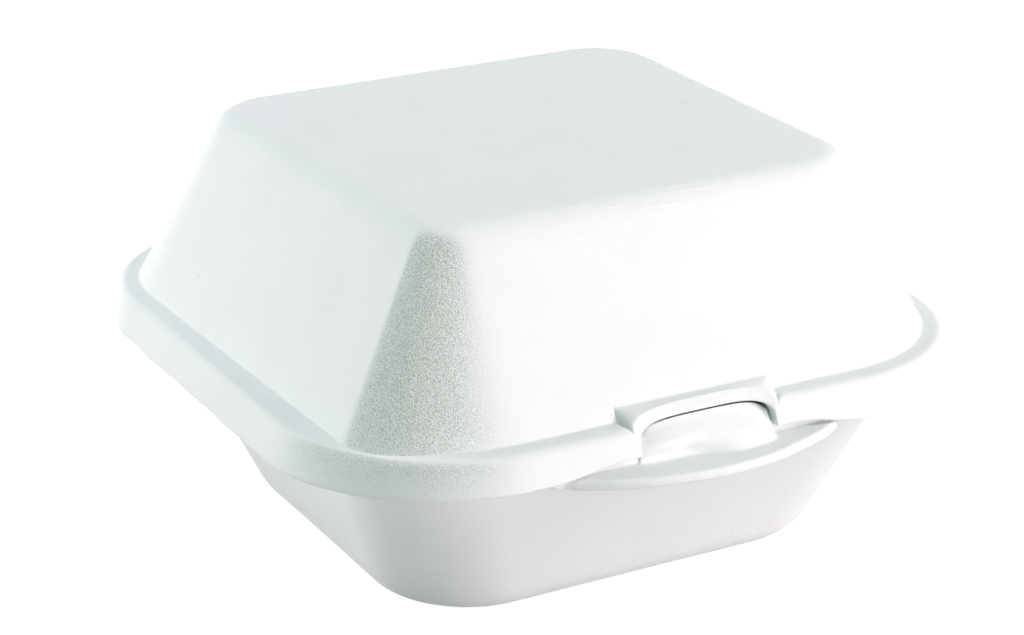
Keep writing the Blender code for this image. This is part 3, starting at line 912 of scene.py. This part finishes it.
def wrinkle_lines(g, place):
    """Fine broken wrinkles that run side by side along the bend at the front of the lid's top."""
    x, y, z = [g.node("ShaderNodeSeparateXYZ", {}, {"Vector": place}, output) for output in range(3)]
    stretched = g.node("ShaderNodeVectorMath", {"operation": "MULTIPLY"}, {0: place, 1: WRINKLE_GRID})
    lines = g.step(g.noise(stretched, 1.0, 1.0), *WRINKLE_LEVEL)
    across = g.step(x, *WRINKLE_LEFT) * (1.0 - g.step(x, *WRINKLE_RIGHT))
    down = g.step(z, *WRINKLE_LOW) * (1.0 - g.step(y, *WRINKLE_BACK))
    return lines * across * down


def stretched_and_shaded_bend(g, place):
    """1 on the lid's bend left of the latch, where the skin is stretched most and shade falls, and 0
    elsewhere: it raises the grain there and carries the painted pore shade and painted glints.
    """
    facing = g.node("ShaderNodeTexCoord", output="Normal")
    right, back = [g.node("ShaderNodeSeparateXYZ", {}, {"Vector": facing}, output) for output in range(2)]
    x, z = [g.node("ShaderNodeSeparateXYZ", {}, {"Vector": place}, output) for output in (0, 2)]
    bend = g.step(right * back, *STRETCHED_SHADED_FACING)
    return bend * g.step(0.0 - x, *STRETCHED_SHADED_ACROSS) * g.step(z, *STRETCHED_SHADED_HEIGHT)


def foam_material(name, finish):
    """White foam with a satin skin: fine cells, a grain that sparkles, soiled specks, and burst cells with
    painted shade at their bottoms. The bend left of the latch also gets painted pore shade and painted
    glints.
    """
    material = bpy.data.materials.new(name)
    material.use_nodes = True
    g = Graph(material.node_tree)
    place = g.node("ShaderNodeTexCoord", output="Object")
    cells = g.node("ShaderNodeTexVoronoi", {}, {"Vector": place, "Scale": 1.0 / finish.cell}, "Distance")
    fine = g.noise(place, finish.cell * 0.8, 3.0, 0.6)
    dimples = g.noise(place, DIMPLE_SIZE, 2.0)
    cloud = g.noise(place, CLOUD_SIZE, 2.0)
    patch = g.step(g.noise(place, PATCH_SIZE), *PATCH_LEVEL)
    specks = g.node("ShaderNodeTexVoronoi", {}, {"Vector": place, "Scale": 1.0 / SPECK_SPACING}, "Distance")
    speck = (1.0 - g.step(specks, *SPECK_EDGE)) * patch
    pits = g.node("ShaderNodeTexVoronoi", {}, {"Vector": place, "Scale": 1.0 / PIT_SPACING}, "Distance")
    pit = (1.0 - g.step(pits, *PIT_EDGE)) * patch
    wrinkle = wrinkle_lines(g, place)
    # corner is 1 on the shaded bend left of the latch: it raises the grain there and carries the painted
    # pore shade and painted glints
    corner = stretched_and_shaded_bend(g, place)
    grain = (1.0 + corner * (finish.stretched - 1.0)) * finish.grain
    height = (fine - cells) * grain + (dimples - 0.5) * finish.dimple
    height = height + wrinkle * finish.wrinkle - pit * PIT_DEPTH
    bump = g.node("ShaderNodeBump", {}, {"Height": height, "Distance": 1.0, "Strength": 1.0}, "Normal")
    skin = (*finish.colour, 1.0)
    shade = tuple(part * CLOUD_SHADE for part in finish.colour) + (1.0,)
    tone = g.blend(g.step(cloud, *CLOUD_LEVEL), skin, shade)
    # Painted shade: open pores darkened on the shaded bend left of the latch
    tone = g.blend((1.0 - g.step(fine, *PORE_SHADE_LEVEL)) * corner, tone, (*finish.pore_colour, 1.0))
    # Painted highlight: white glints for the sparkle of light on the shaded bend left of the latch
    tone = g.blend(g.step(fine, *PAINTED_GLINT_LEVEL) * corner, tone, WHITE)
    tone = g.blend(speck * MARK_STRENGTH, tone, (*finish.speck_colour, 1.0))
    # Painted shade at the bottoms of the burst cells
    tone = g.blend(pit * MARK_STRENGTH, tone, (*finish.pit_colour, 1.0))
    tone = g.blend(wrinkle * MARK_STRENGTH, tone, WHITE)
    rough = finish.roughness + (cloud - 0.5) * CLOUD_ROUGHNESS + (fine - 0.5) * GRAIN_ROUGHNESS
    shader = g.node("ShaderNodeBsdfPrincipled", {},
                    {"Base Color": tone, "Roughness": rough, "Normal": bump, "IOR": 1.45,
                     "Specular IOR Level": finish.sheen})
    g.node("ShaderNodeOutputMaterial", {}, {"Surface": shader})
    material.diffuse_color = skin
    return material


class FOAMBOX_OT_lid(bpy.types.Operator):
    """Build the lid: dome, ledge, skirt, and the hood and window of the latch"""

    bl_idname = "foambox.lid"
    bl_label = "Build lid"

    def execute(self, context):
        box = context.scene.foam_box
        mesh = build_shell(box, "lid_shell", lid_rows, LID_RAG, LID_SWELL, LID_RINGS, True)
        piece = add_piece("lid_shell", mesh, foam_material("lid_foam_skin", box.finish))
        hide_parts("lid")
        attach(piece, "lid")
        return {"FINISHED"}


class FOAMBOX_OT_tray(bpy.types.Operator):
    """Build the tray: underside, walls, rim, and the lip and button of the latch"""

    bl_idname = "foambox.tray"
    bl_label = "Build tray"

    def execute(self, context):
        box = context.scene.foam_box
        mesh = build_shell(box, "tray_shell", tray_rows, TRAY_RAG, TRAY_SWELL, TRAY_RINGS, False)
        piece = add_piece("tray_shell", mesh, foam_material("tray_foam_skin", box.finish))
        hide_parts("base")
        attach(piece, "base")
        return {"FINISHED"}


class FOAMBOX_OT_fold(bpy.types.Operator):
    """Build the strip of pressed foam that joins the lid and the tray along the fold"""

    bl_idname = "foambox.fold"
    bl_label = "Build fold"

    def execute(self, context):
        box = context.scene.foam_box
        fold = box.fold
        inner = fold.slit / 2
        outer = inner + fold.web
        half_turn = [math.pi * (i / WEB_TURN_STEPS - 0.5) for i in range(WEB_TURN_STEPS + 1)]
        outside = [(outer * math.cos(a), outer * math.sin(a)) for a in half_turn]
        inside = [(inner * math.cos(a), inner * math.sin(a)) for a in reversed(half_turn)]
        leg = fold.web_leg
        start = outer * WEB_LEG_START
        line = [(-inner, -leg), (start, -leg)] + outside + [(start, leg), (-inner, leg)] + inside
        half = fold.half - fold.end_radius * WEB_SHORT
        mesh = bpy.data.meshes.new("fold_web")
        web = bmesh.new()
        rings = []
        for i in range(WEB_STEPS + 1):
            x = mix(-half, half, i / WEB_STEPS)
            rings.append([web.verts.new((x, FOLD.y + y, FOLD.z + z)) for y, z in line])
        for here, ahead in zip(rings, rings[1:]):
            for i in range(len(line)):
                after = (i + 1) % len(line)
                web.faces.new((here[i], here[after], ahead[after], ahead[i]))
        web.faces.new(reversed(rings[0]))
        web.faces.new(rings[-1])
        bmesh.ops.recalc_face_normals(web, faces=web.faces)
        web.to_mesh(mesh)
        web.free()
        mesh.shade_smooth()
        piece = add_piece("fold_web", mesh, foam_material("fold_foam_skin", box.finish))
        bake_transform(piece)
        return {"FINISHED"}


def aim_at(thing, place, target, roll=0.0):
    """Puts a lamp or camera at a place and turns it towards a target."""
    thing.location = place
    turn = (Vector(target) - Vector(place)).to_track_quat("-Z", "Y").to_euler()
    turn.rotate_axis("Z", roll)
    thing.rotation_euler = turn


def around(target, azimuth, elevation, distance):
    """A place at a distance from a target, seen from it in the given direction."""
    back = Vector((math.sin(azimuth) * math.cos(elevation), -math.cos(azimuth) * math.cos(elevation),
                   math.sin(elevation)))
    return Vector(target) + back * distance


def add_lamp(lamp, stage, target):
    """Adds one soft square lamp."""
    light = bpy.data.lights.new(lamp.name, "AREA")
    light.shape = "SQUARE"
    light.size = stage.lamp_size
    light.energy = lamp.power * stage.lamp_level
    light.color = lamp.tint
    holder = bpy.data.objects.new(lamp.name, light)
    bpy.context.scene.collection.objects.link(holder)
    azimuth, elevation = math.radians(lamp.azimuth), math.radians(lamp.elevation)
    aim_at(holder, around(target, azimuth, elevation, stage.lamp_distance), target)


class FOAMBOX_OT_stage(bpy.types.Operator):
    """Set up the floor, the soft lamps, the light from all round and the camera"""

    bl_idname = "foambox.stage"
    bl_label = "Set up stage"

    def execute(self, context):
        stage = context.scene.foam_box.stage
        target = Vector(stage.aim)
        for lamp in LAMPS:
            add_lamp(lamp, stage, target)

        world = bpy.data.worlds.new("studio")
        world.use_nodes = True
        context.scene.world = world
        g = Graph(world.node_tree)
        seen = self.seen(g)
        tint = (*stage.world_colour, 1.0)
        lit = g.node("ShaderNodeBackground", {}, {"Color": tint, "Strength": stage.world})
        white = g.node("ShaderNodeBackground", {}, {"Color": WHITE, "Strength": 1.0})
        both = g.node("ShaderNodeMixShader", {}, {0: seen, 1: lit, 2: white})
        g.node("ShaderNodeOutputWorld", {}, {"Surface": both})

        mesh = bpy.data.meshes.new("floor")
        ends = ((-1, -1), (1, -1), (1, 1), (-1, 1))
        mesh.from_pydata([(x * FLOOR_HALF, y * FLOOR_HALF, 0) for x, y in ends], [], [(0, 1, 2, 3)])
        floor = bpy.data.objects.new("floor", mesh)
        context.scene.collection.objects.link(floor)
        mesh.materials.append(self.paper(stage))

        data = bpy.data.cameras.new("camera")
        data.lens = stage.lens
        data.clip_start, data.clip_end = 0.01, 20.0
        camera = bpy.data.objects.new("camera", data)
        context.scene.collection.objects.link(camera)
        aim_at(camera, around(target, stage.azimuth, stage.elevation, stage.distance), target, stage.roll)
        context.scene.camera = camera
        context.scene.view_settings.view_transform = "Standard"
        return {"FINISHED"}

    def seen(self, g):
        """1 for what is looked at directly or in a reflection, and 0 for light on its way."""
        rays = [g.node("ShaderNodeLightPath", {}, {}, kind)
                for kind in ("Is Camera Ray", "Is Glossy Ray", "Is Transmission Ray")]
        return rays[0].math("MAXIMUM", rays[0].math("MAXIMUM", rays[0], rays[1]), rays[2])

    def paper(self, stage):
        """White paper that stays white where nothing shades it, and beyond the lamps' pool of light."""
        material = bpy.data.materials.new("paper")
        material.use_nodes = True
        g = Graph(material.node_tree)
        matt = g.node("ShaderNodeBsdfDiffuse", {}, {"Color": (stage.paper, stage.paper, stage.paper, 1.0)})
        place = g.node("ShaderNodeTexCoord", output="Object")
        away = g.step(g.node("ShaderNodeVectorMath", {"operation": "LENGTH"}, {0: place}, "Value"), *POOL)
        added = g.blend(away, (stage.paper_glow,) * 3 + (1.0,), WHITE)
        glow = g.node("ShaderNodeEmission", {}, {"Color": added, "Strength": 1.0})
        bright = g.node("ShaderNodeAddShader", {}, {0: matt, 1: glow})
        both = g.node("ShaderNodeMixShader", {}, {0: self.seen(g), 1: matt, 2: bright})
        g.node("ShaderNodeOutputMaterial", {}, {"Surface": both})
        return material


class FOAMBOX_PT_panel(bpy.types.Panel):
    """Lists the steps that build the foam box"""

    bl_idname = "FOAMBOX_PT_panel"
    bl_label = "Foam Box"
    bl_space_type = "VIEW_3D"
    bl_region_type = "UI"
    bl_category = "Foam Box"

    def draw(self, context):
        for operator in OPERATORS:
            self.layout.operator(operator.bl_idname)
        for group in ("rim", "lid", "tray", "latch", "fold", "finish", "stage"):
            settings = getattr(context.scene.foam_box, group)
            part = self.layout.box()
            part.label(text=group.capitalize())
            for key in settings.__annotations__:
                part.prop(settings, key)


OPERATORS = (FOAMBOX_OT_stage, FOAMBOX_OT_tray, FOAMBOX_OT_lid, FOAMBOX_OT_fold)
CLASSES = (RimSizes, LidSizes, TraySizes, LatchSizes, FoldSizes, FoamFinish, StageSettings, FoamBox,
           *OPERATORS, FOAMBOX_PT_panel)


def register():
    for kind in CLASSES:
        bpy.utils.register_class(kind)
    bpy.types.Scene.foam_box = PointerProperty(type=FoamBox)


def unregister():
    del bpy.types.Scene.foam_box
    for kind in reversed(CLASSES):
        bpy.utils.unregister_class(kind)


def main():
    register()
    bpy.ops.foambox.stage()
    bpy.ops.foambox.tray()
    bpy.ops.foambox.lid()
    bpy.ops.foambox.fold()


if __name__ == "__main__":
    main()
